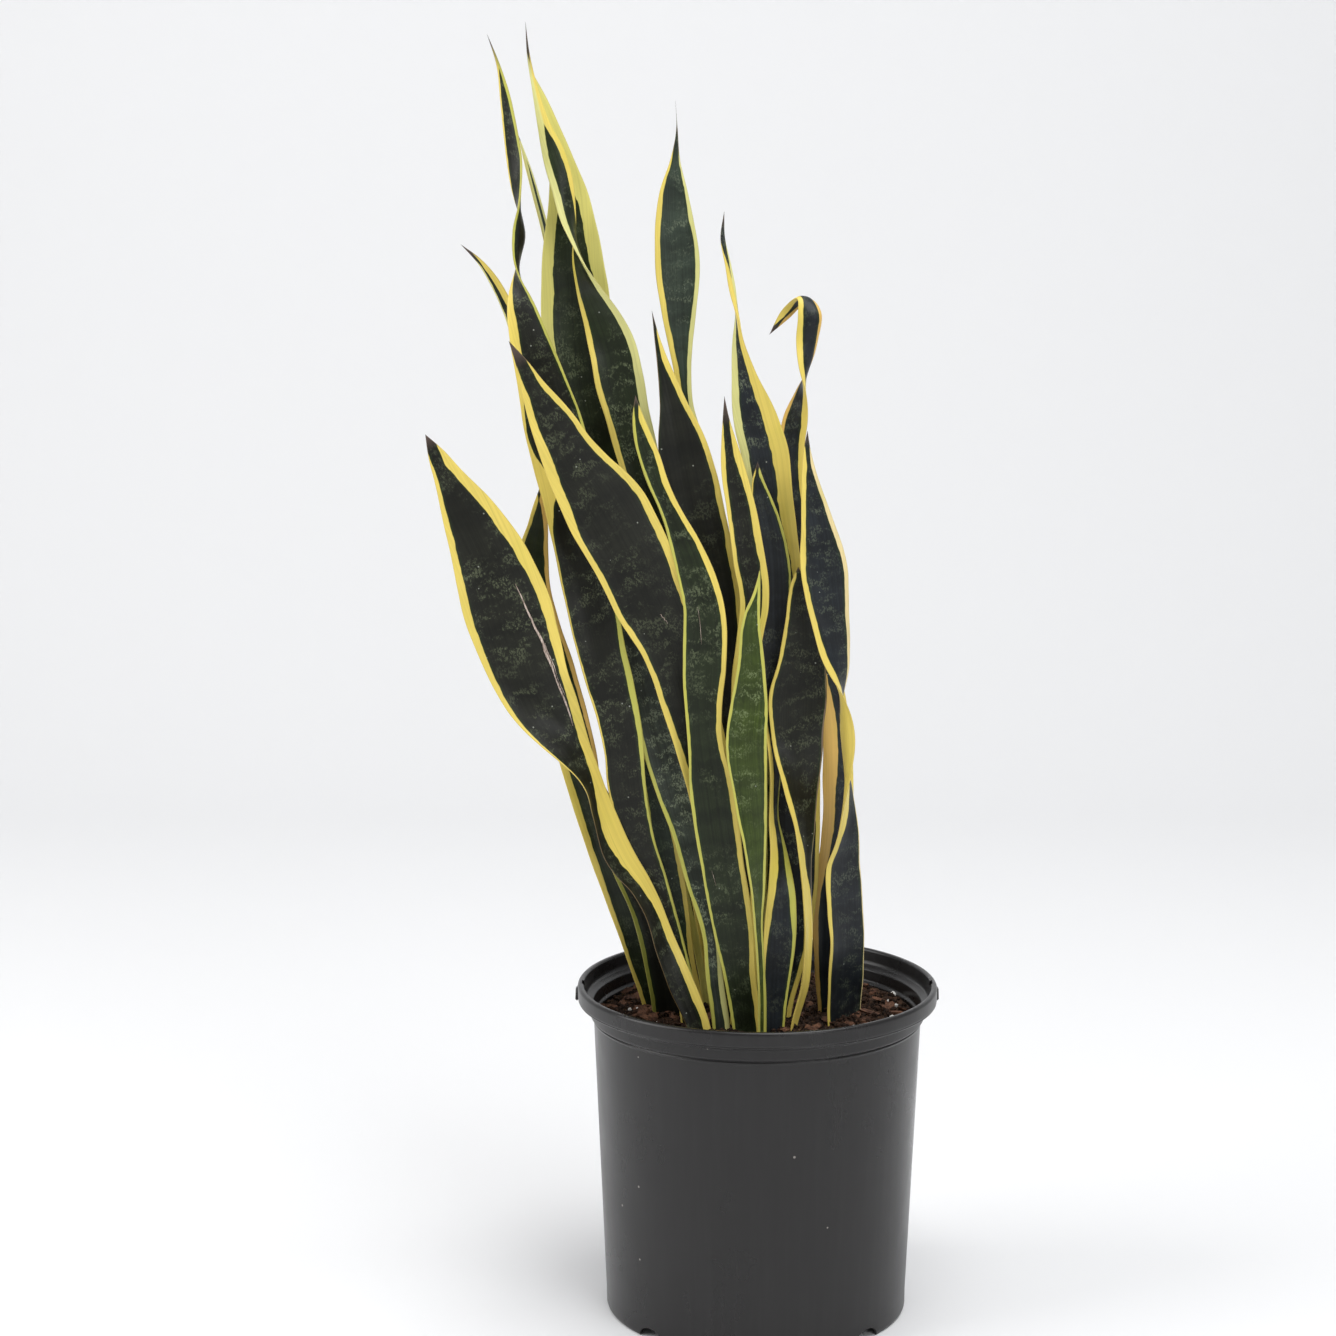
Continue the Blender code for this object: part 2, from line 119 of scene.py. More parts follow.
# The tab outside each slot, in mm.
TAB_THICKNESS = 2.4
TAB_WIDTH_TOP = 9
TAB_WIDTH_FOOT = 6
TAB_HEIGHT = 9
TAB_DROP = 8.5
TAB_BEVEL = 0.7

# Studio lights: name, place and size in metres, power in watts, colour. All aim at the same point.
LIGHT_AIM = (0.0, 0.0, 0.45)
LIGHTS = [
    ("window_left", (-2.6, -0.6, 1.6), (2.0, 2.4), 52, (1.0, 0.99, 0.98)),
    ("overhead", (0.6, -0.6, 2.9), (2.4, 2.0), 60, (1.0, 1.0, 1.0)),
    ("front_fill", (1.8, -2.8, 1.6), (1.6, 1.6), 24, (0.98, 0.99, 1.0)),
]
SURROUND_STRENGTH = 0.40

# Camera: place in metres, tilt up from straight down in degrees, lens in mm.
CAMERA_PLACE = (-0.063, -2.008, 0.797)
CAMERA_TILT = 80.5
CAMERA_LENS = 78.95

# Margin colours (linear).
YELLOW = (0.76, 0.60, 0.13)
GOLD = (0.70, 0.45, 0.12)
PALE = (0.66, 0.64, 0.25)
CREAM = (0.80, 0.66, 0.33)
LIME = (0.50, 0.49, 0.10)
OLIVE = (0.26, 0.27, 0.05)
DUSKY = (0.20, 0.15, 0.10)

# Face colours (linear).
INK = (0.0080, 0.0085, 0.0055)
FOREST = (0.0110, 0.0160, 0.0060)
SLATE = (0.0100, 0.0125, 0.0150)
TEAL = (0.0130, 0.0230, 0.0110)
ASH = (0.0300, 0.0370, 0.0280)
SPRING = (0.030, 0.046, 0.007)
MIST = (0.0240, 0.0330, 0.0240)
FRESH = (0.68, 0.63, 0.18)

# Each leaf: face colour, mottling, dry tip and unmargined tip in mm, then for its left and right edges
# the margin's colour, its steady width in mm, and its swells as (height, reach, extra width) in mm.
LEAF_LOOKS = {
    "leaf_tall_twisted_left": (
        INK, 0.9, 22, 10, (YELLOW, 1.2, [(590, 20, 9), (690, 35, 5.5)]), (LIME, 1.6, [(450, 50, 2.5)]),
    ),
    "leaf_tallest_whip": (FOREST, 1.0, 30, 30, (YELLOW, 3.6, []), (PALE, 4.2, [(670, 40, 1.5)])),
    "leaf_broad_yellow_back": (
        FOREST, 0.8, 3, 5, (FRESH, 5.5, [(700, 120, 3)]), (FRESH, 5.5, [(750, 120, 4)]),
    ),
    "leaf_thin_edge_back": (TEAL, 0.3, 4, 5, (PALE, 2.6, []), (PALE, 2.6, [])),
    "leaf_small_hooked_left": (SLATE, 0.4, 14, 14, (PALE, 0.8, []), (YELLOW, 2.2, [(715, 25, 2)])),
    "leaf_front_diagonal": (
        INK, 0.55, 16, 25, (YELLOW, 3.6, [(370, 50, 2), (610, 30, 3.5)]), (YELLOW, 3.8, [(530, 60, 2.5)]),
    ),
    "leaf_front_s_curve": (FOREST, 0.8, 6, 10, (LIME, 1.8, []), (YELLOW, 3.6, [])),
    "leaf_mottled_narrow": (ASH, 4.0, 6, 5, (LIME, 2.5, []), (PALE, 0.8, [(230, 45, 3)])),
    "leaf_left_rear": (FOREST, 0.4, 3, 5, (YELLOW, 2.4, [(380, 80, 2.5)]), (GOLD, 2.8, [])),
    "leaf_left_leaning": (
        INK, 0.8, 9, 15,
        (YELLOW, 0.0, [(500, 75, 5), (580, 45, 2)]), (YELLOW, 5.5, [(350, 40, 12), (540, 60, 3.5)]),
    ),
    "leaf_left_inner": (INK, 0.3, 3, 5, (OLIVE, 2.8, []), (OLIVE, 1.2, [])),
    "leaf_pale_narrow": (TEAL, 1.2, 3, 5, (LIME, 1.4, []), (YELLOW, 3.5, [])),
    "leaf_right_upper_broad": (MIST, 0.7, 12, 50, (YELLOW, 3.8, []), (PALE, 2.8, [])),
    "leaf_dark_centre": (INK, 0.35, 8, 20, (DUSKY, 0.4, []), (YELLOW, 3.8, [])),
    "leaf_purple_tip": (INK, 0.5, 16, 25, (YELLOW, 2.8, [(475, 35, 1.5)]), (YELLOW, 4.5, [])),
    "leaf_green_front": (SPRING, 0.9, 3, 5, (LIME, 1.8, []), (LIME, 1.8, [(215, 90, 2.5)])),
    "leaf_wide_yellow_right": (
        SLATE, 1.2, 10, 30, (PALE, 3.4, [(640, 60, 2)]), (YELLOW, 3.0, [(600, 70, 9)]),
    ),
    "leaf_bluish_right": (SLATE, 0.6, 4, 5, (YELLOW, 0.8, [(350, 60, 8.5)]), (LIME, 1.6, [(315, 30, 3.5)])),
    "leaf_right_centre_dark": (INK, 0.6, 3, 5, (YELLOW, 2.2, [(265, 80, 15)]), (DUSKY, 1.0, [])),
    "leaf_right_outer": (SLATE, 0.7, 8, 15, (YELLOW, 3.4, [(400, 50, 17)]), (CREAM, 0.8, [(540, 100, 2)])),
    "leaf_bent_tip_right": (
        SLATE, 0.4, 8, 10, (GOLD, 2.2, [(390, 110, 8.5)]), (YELLOW, 3.0, [(640, 90, 1.5)]),
    ),
}

# Healed scratches on a blade: leaf, then (height in mm, place across from -1 to 1) and width in mm.
SCARS = [
    (
        "leaf_left_leaning",
        [(522, 0.35), (500, 0.42), (478, 0.56), (455, 0.62), (432, 0.62), (420, 0.55)],
        1.9,
    ),
    ("leaf_left_leaning", [(478, 0.60), (462, 0.66), (440, 0.68)], 0.8),
    ("leaf_front_s_curve", [(512, -0.30), (498, -0.22), (485, -0.16)], 0.5),
    ("leaf_front_s_curve", [(330, -0.55), (318, -0.45)], 0.4),
    ("leaf_front_diagonal", [(505, 0.05), (497, 0.14)], 0.5),
]


# ---------------------------------------------------------------- materials

class Nodes:
    """Short names for building one material's node tree."""

    def __init__(self, name):
        self.material = bpy.data.materials.new(name)
        self.material.use_nodes = True
        self.tree = self.material.node_tree
        self.shader = self.tree.nodes["Principled BSDF"]

    def add(self, kind, **settings):
        node = self.tree.nodes.new(kind)
        for key, value in settings.items():
            setattr(node, key, value)
        return node

    def feed(self, socket, value):
        if isinstance(value, bpy.types.NodeSocket):
            self.tree.links.new(value, socket)
        elif isinstance(value, tuple) and len(socket.default_value) == 4 and len(value) == 3:
            socket.default_value = (*value, 1.0)
        else:
            socket.default_value = value

    def attribute(self, name, output="Fac"):
        return self.add("ShaderNodeAttribute", attribute_name=name).outputs[output]

    def math(self, operation, a, b=0.0, clamp=False):
        node = self.add("ShaderNodeMath", operation=operation, use_clamp=clamp)
        self.feed(node.inputs[0], a)
        self.feed(node.inputs[1], b)
        return node.outputs[0]

    def ramp(self, value, low, high, to_low=0.0, to_high=1.0):
        node = self.add("ShaderNodeMapRange", interpolation_type="SMOOTHSTEP")
        for name, given in zip(
            ("Value", "From Min", "From Max", "To Min", "To Max"), (value, low, high, to_low, to_high)
        ):
            self.feed(node.inputs[name], given)
        return node.outputs["Result"]

    def scaled(self, vector, scale):
        node = self.add("ShaderNodeMapping")
        self.feed(node.inputs["Vector"], vector)
        self.feed(node.inputs["Scale"], scale)
        return node.outputs["Vector"]

    def noise(self, vector, scale=1.0, detail=3.0, roughness=0.55, distortion=0.0):
        node = self.add("ShaderNodeTexNoise")
        for name, given in zip(
            ("Vector", "Scale", "Detail", "Roughness", "Distortion"),
            (vector, scale, detail, roughness, distortion),
        ):
            self.feed(node.inputs[name], given)
        return node.outputs["Fac"]

    def cells(self, vector, scale):
        node = self.add("ShaderNodeTexVoronoi")
        self.feed(node.inputs["Vector"], vector)
        self.feed(node.inputs["Scale"], scale)
        return node.outputs["Distance"], node.outputs["Color"]

    def mix(self, share, a, b):
        node = self.add("ShaderNodeMix", data_type="RGBA")
        self.feed(node.inputs[0], share)
        self.feed(node.inputs[6], a)
        self.feed(node.inputs[7], b)
        return node.outputs[2]

    def tint(self, colour, value, hue=0.5, saturation=1.0):
        node = self.add("ShaderNodeHueSaturation")
        for name, given in zip(("Hue", "Saturation", "Value", "Color"), (hue, saturation, value, colour)):
            self.feed(node.inputs[name], given)
        return node.outputs["Color"]

    def bump(self, height, distance, strength=1.0):
        node = self.add("ShaderNodeBump")
        self.feed(node.inputs["Height"], height)
        self.feed(node.inputs["Distance"], distance)
        self.feed(node.inputs["Strength"], strength)
        self.feed(self.shader.inputs["Normal"], node.outputs["Normal"])

    def set(self, **inputs):
        for name, value in inputs.items():
            self.feed(self.shader.inputs[name.replace("_", " ")], value)
        return self.material


def leaf_material():
    """A waxy blade: yellow margins, cross bands, long streaks, pale specks and a dry tip."""
    n = Nodes("waxy_leaf")
    blade = n.attribute("blade", "Vector")
    edge = n.attribute("edge")
    margin = n.attribute("margin")
    mottling = n.attribute("mottling")

    wander = n.noise(n.scaled(blade, (40.0, 26.0, 1.0)), 1.0, 3.0)
    fray = n.noise(n.scaled(blade, (500.0, 90.0, 1.0)), 1.0, 2.0)
    reach = n.math("MULTIPLY", margin, n.ramp(wander, 0.25, 0.75, 0.86, 1.14))
    frayed = n.math("ADD", reach, n.math("MULTIPLY", n.math("SUBTRACT", fray, 0.5), 0.0011))
    inside = n.math("SUBTRACT", frayed, edge)
    in_margin = n.ramp(inside, -0.00012, 0.00030)
    present = n.ramp(margin, 0.0001, 0.0006)
    in_margin = n.math("MULTIPLY", in_margin, present)

    zigzag = n.noise(n.scaled(blade, (150.0, 70.0, 1.0)), 1.0, 3.0, 0.6)
    warp = n.add("ShaderNodeVectorMath", operation="MULTIPLY_ADD")
    n.feed(warp.inputs[0], zigzag)
    n.feed(warp.inputs[1], (0.0, 0.014, 0.0))
    n.feed(warp.inputs[2], blade)
    bands = n.noise(n.scaled(warp.outputs[0], (60.0, 130.0, 1.0)), 1.0, 5.0, 0.68)
    patches = n.noise(n.scaled(blade, (24.0, 14.0, 1.0)), 1.0, 2.0)
    flecks = n.noise(n.scaled(blade, (900.0, 520.0, 1.0)), 1.0, 3.0, 0.7)
    band = n.math("MULTIPLY", n.ramp(bands, 0.47, 0.62), n.ramp(patches, 0.36, 0.60))
    band = n.math("MULTIPLY", band, n.ramp(flecks, 0.47, 0.56, 0.04, 1.0))
    band = n.math("MULTIPLY", n.math("MULTIPLY", band, mottling), 0.95, clamp=True)
    streaks = n.noise(n.scaled(blade, (900.0, 7.0, 1.0)), 1.0, 3.0, 0.6)
    soft_bands = n.noise(n.scaled(warp.outputs[0], (8.0, 60.0, 1.0)), 1.0, 3.0)

    face = n.attribute("face_tint", "Color")
    face = n.tint(face, n.ramp(soft_bands, 0.3, 0.7, 0.7, 1.5))
    face = n.tint(face, n.ramp(streaks, 0.3, 0.7, 0.8, 1.3))
    pale_face = n.tint(n.attribute("face_tint", "Color"), 6.0, 0.5, 0.8)
    banded = n.mix(band, face, n.mix(0.4, (0.150, 0.175, 0.095), pale_face))
    rim_green = n.ramp(inside, -0.0022, -0.0002, 0.0, 0.40)
    banded = n.mix(n.math("MULTIPLY", rim_green, present), banded, (0.020, 0.040, 0.008))
    dots, dot_colour = n.cells(blade, 210.0)
    pick = n.add("ShaderNodeSeparateColor")
    n.feed(pick.inputs[0], dot_colour)
    chosen = n.math("GREATER_THAN", pick.outputs[0], 0.93)
    speck = n.math("MULTIPLY", n.math("LESS_THAN", dots, 0.11), chosen)
    banded = n.mix(n.math("MULTIPLY", speck, 0.6), banded, (0.42, 0.44, 0.38))

    gold = n.attribute("margin_tint", "Color")
    gold = n.tint(gold, n.ramp(streaks, 0.3, 0.7, 0.93, 1.06))
    blush = n.noise(n.scaled(blade, (30.0, 18.0, 1.0)), 1.0, 2.0)
    gold = n.mix(n.ramp(blush, 0.55, 0.8, 0.0, 0.35), gold, (0.55, 0.50, 0.06))
    hairlines = n.noise(n.scaled(blade, (1500.0, 11.0, 1.0)), 1.0, 1.0)
    gold = n.mix(n.ramp(hairlines, 0.68, 0.76, 0.0, 0.18), gold, (0.22, 0.25, 0.05))
    skin = n.mix(in_margin, banded, gold)
    outer = n.ramp(n.attribute("rim"), 0.00005, 0.0004, 0.35, 0.0)
    skin = n.mix(outer, skin, (0.35, 0.22, 0.08))

    dry = n.attribute("dry")
    crisp = n.noise(n.scaled(blade, (300.0, 120.0, 1.0)), 1.0, 3.0)
    skin = n.mix(dry, skin, n.mix(crisp, (0.035, 0.022, 0.020), (0.15, 0.105, 0.085)))

    ridges = n.noise(n.scaled(blade, (300.0, 3.0, 1.0)), 1.0, 2.0)
    grain = n.noise(n.scaled(blade, (1400.0, 1000.0, 1.0)), 1.0, 2.0)
    dimples = n.noise(n.scaled(blade, (60.0, 30.0, 1.0)), 1.0, 2.0)
    height = n.math("ADD", n.math("MULTIPLY", ridges, 0.3), n.math("MULTIPLY", grain, 0.16))
    height = n.math("ADD", height, n.math("MULTIPLY", dimples, 0.9))
    n.bump(height, 0.00035, 0.8)
    rough = n.math("ADD", n.ramp(flecks, 0.3, 0.7, 0.34, 0.46), n.math("MULTIPLY", dry, 0.3))
    rough = n.math("ADD", rough, n.math("MULTIPLY", band, 0.12))
    return n.set(
        Base_Color=skin, Roughness=rough, Specular_IOR_Level=0.24,
        Coat_Weight=0.05, Coat_Roughness=0.2,
    )


def scar_material():
    n = Nodes("healed_scar")
    where = n.add("ShaderNodeTexCoord").outputs["Object"]
    fibre = n.noise(n.scaled(where, (900.0, 900.0, 160.0)), 1.0, 4.0, 0.7)
    colour = n.mix(n.ramp(fibre, 0.35, 0.65), (0.20, 0.14, 0.11), (0.70, 0.58, 0.50))
    n.bump(fibre, 0.0003, 0.8)
    return n.set(Base_Color=colour, Roughness=0.72, Specular_IOR_Level=0.25)


def plastic_material():
    """Black moulded plastic with painted sheen in faint streaks up its wall, scuffs and pale specks."""
    n = Nodes("black_nursery_plastic")
    where = n.add("ShaderNodeTexCoord").outputs["Object"]
    cloud = n.noise(n.scaled(where, (14.0, 14.0, 9.0)), 1.0, 4.0, 0.6)
    # Noise placing the painted sheen streaks up the wall; it also gives the wall faint relief.
    sheen_streaks = n.noise(n.scaled(where, (160.0, 160.0, 5.0)), 1.0, 3.0, 0.6)
    grain = n.noise(where, 1900.0, 2.0)
    scuffs = n.noise(n.scaled(where, (70.0, 70.0, 420.0)), 1.0, 6.0, 0.75, 0.8)
    scuff = n.math("MULTIPLY", n.ramp(scuffs, 0.66, 0.76), n.ramp(cloud, 0.5, 0.68))
    dots, dot_colour = n.cells(where, 85.0)
    pick = n.add("ShaderNodeSeparateColor")
    n.feed(pick.inputs[0], dot_colour)
    chosen = n.math("GREATER_THAN", pick.outputs[0], 0.90)
    speck = n.math("MULTIPLY", n.math("LESS_THAN", dots, 0.075), chosen)
    colour = n.mix(cloud, (0.0085, 0.0080, 0.0080), (0.0140, 0.0130, 0.0130))
    # Painted sheen: faint lighter streaks drawn up the wall.
    colour = n.mix(n.math("MULTIPLY", n.ramp(sheen_streaks, 0.4, 0.75), 0.25), colour, (0.022, 0.021, 0.021))
    colour = n.mix(n.math("MULTIPLY", scuff, 0.4), colour, (0.10, 0.095, 0.09))
    colour = n.mix(n.math("MULTIPLY", speck, 0.7), colour, (0.36, 0.33, 0.30))
    rough = n.math("ADD", n.ramp(cloud, 0.3, 0.7, 0.25, 0.36), n.math("MULTIPLY", scuff, 0.25))
    waves = n.noise(n.scaled(where, (11.0, 11.0, 16.0)), 1.0, 2.0)
    height = n.math("ADD", n.math("MULTIPLY", grain, 0.05), n.math("MULTIPLY", sheen_streaks, 0.10))
    height = n.math("ADD", height, n.math("MULTIPLY", waves, 1.6))
    n.bump(height, 0.0008, 0.6)
    return n.set(Base_Color=colour, Roughness=rough, Specular_IOR_Level=0.40)


def earth_material(name, dark, light, scale, roughness=0.95):
    n = Nodes(name)
    where = n.add("ShaderNodeTexCoord").outputs["Object"]
    clumps = n.noise(where, scale, 6.0, 0.7)
    fine = n.noise(where, scale * 7.0, 4.0, 0.7)
    colour = n.mix(n.ramp(clumps, 0.35, 0.68), dark, light)
    colour = n.tint(colour, n.ramp(fine, 0.25, 0.75, 0.55, 1.5))
    n.bump(n.math("ADD", clumps, n.math("MULTIPLY", fine, 0.5)), 0.0012, 0.9)
    return n.set(Base_Color=colour, Roughness=roughness, Specular_IOR_Level=0.2)


def plain_material(name, colour, roughness):
    n = Nodes(name)
    return n.set(Base_Color=colour, Roughness=roughness, Specular_IOR_Level=0.15)


# ---------------------------------------------------------------- helpers

def smooth_curve(knots, values, at):
    """A cubic through the values; its slope at a knot is a weighted mean of those on either side."""
    slopes = np.gradient(values, knots, axis=0)
    index = np.clip(np.searchsorted(knots, at, side="right") - 1, 0, len(knots) - 2)
    span = (knots[index + 1] - knots[index])[:, None]
    t = (at - knots[index])[:, None] / span
    ends = (2 * t**3 - 3 * t**2 + 1) * values[index] + (3 * t**2 - 2 * t**3) * values[index + 1]
    bends = (t**3 - 2 * t**2 + t) * slopes[index] + (t**3 - t**2) * slopes[index + 1]
    return ends + bends * span


def unit(vectors):
    return vectors / np.maximum(np.linalg.norm(vectors, axis=-1, keepdims=True), 1e-9)


def mesh_object(name, points, faces, material, smooth=True):
    mesh = bpy.data.meshes.new(name)
    mesh.from_pydata([tuple(p) for p in points], [], [tuple(f) for f in faces])
    mesh.materials.append(material)
    if smooth:
        mesh.shade_smooth()
    obj = bpy.data.objects.new(name, mesh)
    bpy.context.scene.collection.objects.link(obj)
    return obj


def belongs(piece, slot, *nodes):
    """The piece rides on the part's one body and stands for CAD nodes; the slot is not used."""
    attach(piece, "root")
    if nodes:
        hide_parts(*nodes)
    return piece


# ---------------------------------------------------------------- leaves

def leaf_rings(node):
    """The CAD leaf's left edge, middle and right edge, ring by ring from its foot to its tip."""
    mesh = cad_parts[node].data
    points = np.array([vert.co for vert in mesh.vertices])
    _, first, welded = np.unique(np.round(points, 5), axis=0, return_index=True, return_inverse=True)
    welded = welded.reshape(-1)
    points = points[first]
    near = [set() for _ in points]
    for edge in mesh.edges:
        a, b = welded[edge.vertices[0]], welded[edge.vertices[1]]
        if a != b:
            near[a].add(b)
            near[b].add(a)
    ring = set(np.argsort(points[:, 2])[:8].tolist())
    done = set(ring)
    rows = []
    heading = np.array([1.0, 0.0, 0.0])
    while ring:
        members = points[sorted(ring)]
        if len(members) < 3:
            rows.append(np.array([members.mean(axis=0)] * 3))
            break
        gaps = np.linalg.norm(members[:, None] - members[None], axis=2)
        left, right = np.unravel_index(np.argmax(gaps), gaps.shape)
        if (members[right] - members[left]) @ heading < 0:
            left, right = right, left
        heading = members[right] - members[left]
        middle = (members[left] + members[right]) / 2
        shares = np.abs((members - middle) @ unit(heading))
        core = members[np.argsort(shares)[:2]].mean(axis=0)
        rows.append(np.array([members[left], core, members[right]]))
        onward = set().union(*(near[v] for v in ring)) - done
        done |= onward
        ring = onward
    return np.array(rows)


def fine_blade(node):
    """Left edge, middle, right edge and distance along, at BLADE_RINGS places up the leaf."""
    rows = leaf_rings(node)
    run = np.linalg.norm(np.diff(rows[:, 1], axis=0), axis=1)
    knots = np.concatenate([[0.0], np.cumsum(run)])
    share = np.linspace(0.0, 1.0, BLADE_RINGS)
    at = knots[-1] * (1.0 - (1.0 - share) ** TIP_CROWDING)
    fine = smooth_curve(knots, rows.reshape(len(rows), 9), at).reshape(-1, 3, 3)
    return fine[:, 0], fine[:, 1], fine[:, 2], at


def blade_point(left, middle, right, u):
    """A point on the channelled mid-surface: a parabola through the edges and the middle."""
    return middle + u * (right - left) / 2 + u * u * ((left + right) / 2 - middle)


def margin_width(steady, swells, heights, to_tip, bare_tip):
    """A margin's width: steady, swelling here and there, and fading away towards the bare tip."""
    width = np.full_like(heights, steady)
    for height, reach, extra in swells:
        width += extra * np.exp(-(((heights / MM - height) / reach) ** 2))
    return width * MM * np.clip(to_tip / (bare_tip * MM) - 0.6, 0.0, 1.0)


def add_float(mesh, name, values):
    mesh.attributes.new(name, "FLOAT", "POINT").data.foreach_set("value", np.ravel(values))


def add_colour(mesh, name, values):
    rgba = np.concatenate([values, np.ones((len(values), 1))], axis=1)
    mesh.attributes.new(name, "FLOAT_COLOR", "POINT").data.foreach_set("color", rgba.ravel())


def make_leaf(node, seed, material):
    face, mottling, dry_length, bare_tip, left_look, right_look = LEAF_LOOKS[node]
    left_tint, *left_shape = left_look
    right_tint, *right_shape = right_look
    left, middle, right, along = fine_blade(node)
    half_width = np.linalg.norm(right - left, axis=1) / 2
    turn = np.linspace(0.0, 2 * math.pi, BLADE_AROUND, endpoint=False)
    across = -np.cos(turn)
    side = np.sign(np.sin(turn)) * np.abs(np.sin(turn)) ** SIDE_POWER
    side[np.abs(np.sin(turn)) < 1e-6] = 0.0
    centre = blade_point(left[:, None], middle[:, None], right[:, None], across[None, :, None])
    bow = ((left + right) / 2 - middle)[:, None]
    wide = unit((right - left)[:, None] / 2 + 2 * across[None, :, None] * bow)
    onward = unit(np.gradient(middle, axis=0))[:, None] + np.zeros_like(centre)
    normal = unit(np.cross(wide, onward))
    half = np.minimum(BLADE_HALF_THICKNESS, MOST_PLUMP * half_width)[:, None]
    plump = half * (1.0 - EDGE_THINNING * np.abs(across[None, :]) ** 3)
    rng = np.random.default_rng(seed)
    phases = rng.uniform(0, 2 * math.pi, 4)
    long_wave = np.sin(along * math.tau / RIPPLE_LENGTHS[0] + phases[0])
    short_wave = np.sin(along * math.tau / RIPPLE_LENGTHS[1] + phases[1])
    ripple = RIPPLE_HEIGHT * np.clip(half_width / FULL_RIPPLE_HALF_WIDTH, 0, RIPPLE_MOST)
    ripple *= long_wave + 0.6 * short_wave
    folds = FOLD_HEIGHT * np.sin(across[None, :] * 9.0 + phases[2] + 3.0 * along[:, None])
    folds *= np.clip(half_width / FULL_FOLD_HALF_WIDTH, 0, 1)[:, None]
    lift = plump * side[None, :] + ripple[:, None] * across[None] ** 2 + folds
    points = (centre + normal * lift[..., None]).reshape(-1, 3)

    faces = []
    for row in range(BLADE_RINGS - 1):
        low = row * BLADE_AROUND
        for a in range(BLADE_AROUND):
            b = (a + 1) % BLADE_AROUND
            faces.append((low + b, low + a, low + a + BLADE_AROUND, low + b + BLADE_AROUND))
    faces.append(tuple(range(BLADE_AROUND)))
    faces.append(tuple(reversed(range(len(points) - BLADE_AROUND, len(points)))))
    leaf = mesh_object(node + "_blade", points, faces, material)

    width = np.repeat(half_width, BLADE_AROUND)
    u = np.tile(across, BLADE_RINGS)
    height = np.repeat(middle[:, 2], BLADE_AROUND)
    far = np.repeat(along, BLADE_AROUND)
    left_edge, right_edge = (1.0 + u) * width, (1.0 - u) * width
    to_tip = along[-1] - far
    left_margin = margin_width(*left_shape, height, to_tip, bare_tip)
    right_margin = margin_width(*right_shape, height, to_tip, bare_tip)
    near_left = left_margin - left_edge > right_margin - right_edge
    edge = np.where(near_left, left_edge, right_edge)
    margin = np.where(near_left, left_margin, right_margin)
    tint = np.where(near_left[:, None], np.array(left_tint), np.array(right_tint))
    mesh = leaf.data
    blade = np.stack([u * width, far, np.full_like(u, seed * PATTERN_STEP)], axis=1)
    mesh.attributes.new("blade", "FLOAT_VECTOR", "POINT").data.foreach_set("vector", blade.ravel())
    add_float(mesh, "edge", edge)
    add_float(mesh, "rim", np.minimum(left_edge, right_edge))
    add_float(mesh, "margin", margin)
    add_float(mesh, "mottling", np.full(len(u), mottling))
    add_float(mesh, "dry", np.clip(1.25 - to_tip / (dry_length * MM), 0.0, 1.0))
    add_colour(mesh, "margin_tint", tint)
    add_colour(mesh, "face_tint", np.tile(np.array(face), (len(u), 1)))
    return belongs(leaf, "leaf_young" if node == "leaf_green_front" else "leaf", node)


def make_scar(index, node, route, width, material):
    """A thin raised ribbon of corky tissue on the face of a blade."""
    left, middle, right, _ = fine_blade(node)
    route = sorted(route)
    heights = np.linspace(route[0][0], route[-1][0], 40)
    places = np.interp(heights, [h for h, _ in route], [u for _, u in route])
    rows = []
    for step, (height, place) in enumerate(zip(heights, places)):
        at = int(np.argmin(np.abs(middle[:, 2] - height * MM)))
        place += 0.02 * noise.noise(Vector((height * 0.09, index * 7.0, 0.0)))
        wide = unit(right[at] - left[at])
        onward = unit(middle[min(at + 1, BLADE_RINGS - 1)] - middle[max(at - 1, 0)])
        normal = unit(np.cross(wide, onward))
        thin = math.sin(math.pi * (step + 0.5) / len(heights)) ** 0.5
        half = width * MM / 2 * thin * (1.0 + 0.4 * noise.noise(Vector((height * 0.3, index * 3.0, 1.0))))
        centre = blade_point(left[at], middle[at], right[at], place)
        lift = BLADE_HALF_THICKNESS * (1.0 - EDGE_THINNING * abs(place) ** 3)
        rows.append([centre + wide * half * s + normal * (lift + d * MM) for s, d in
                     ((-1, -0.25), (-0.5, 0.22), (0.5, 0.22), (1, -0.25), (0.0, -0.5))])
    points = np.array(rows).reshape(-1, 3)
    faces = []
    for row in range(len(rows) - 1):
        for a in range(5):
            b = (a + 1) % 5
            faces.append((row * 5 + b, row * 5 + a, row * 5 + a + 5, row * 5 + b + 5))
    faces.append(tuple(range(5)))
    faces.append(tuple(reversed(range(len(points) - 5, len(points)))))
    scar = mesh_object(f"scar_{index}", points, faces, material)
    return belongs(scar, "leaf")


# ---------------------------------------------------------------- soil

# Perlite grains and bark chips that lie in plain sight: (x, y) on the soil, in metres.
SEEN_PERLITE = [(-0.090, 0.005), (-0.085, 0.005), (-0.070, -0.020), (0.095, 0.030), (0.100, 0.045)]
SEEN_BARK = [(-0.100, 0.015), (-0.095, 0.020), (0.095, 0.015), (0.090, 0.035)]


def soil_height(x, y):
    """The soil's gently lumpy top."""
    lumps = noise.fractal(Vector((x * 38, y * 38, 0.4)), 0.9, 2.1, 5)
    swell = noise.noise(Vector((x * 12, y * 12, 3.7)))
    return SOIL_TOP + 1.7 * MM * lumps + 1.2 * MM * swell - 0.8 * MM


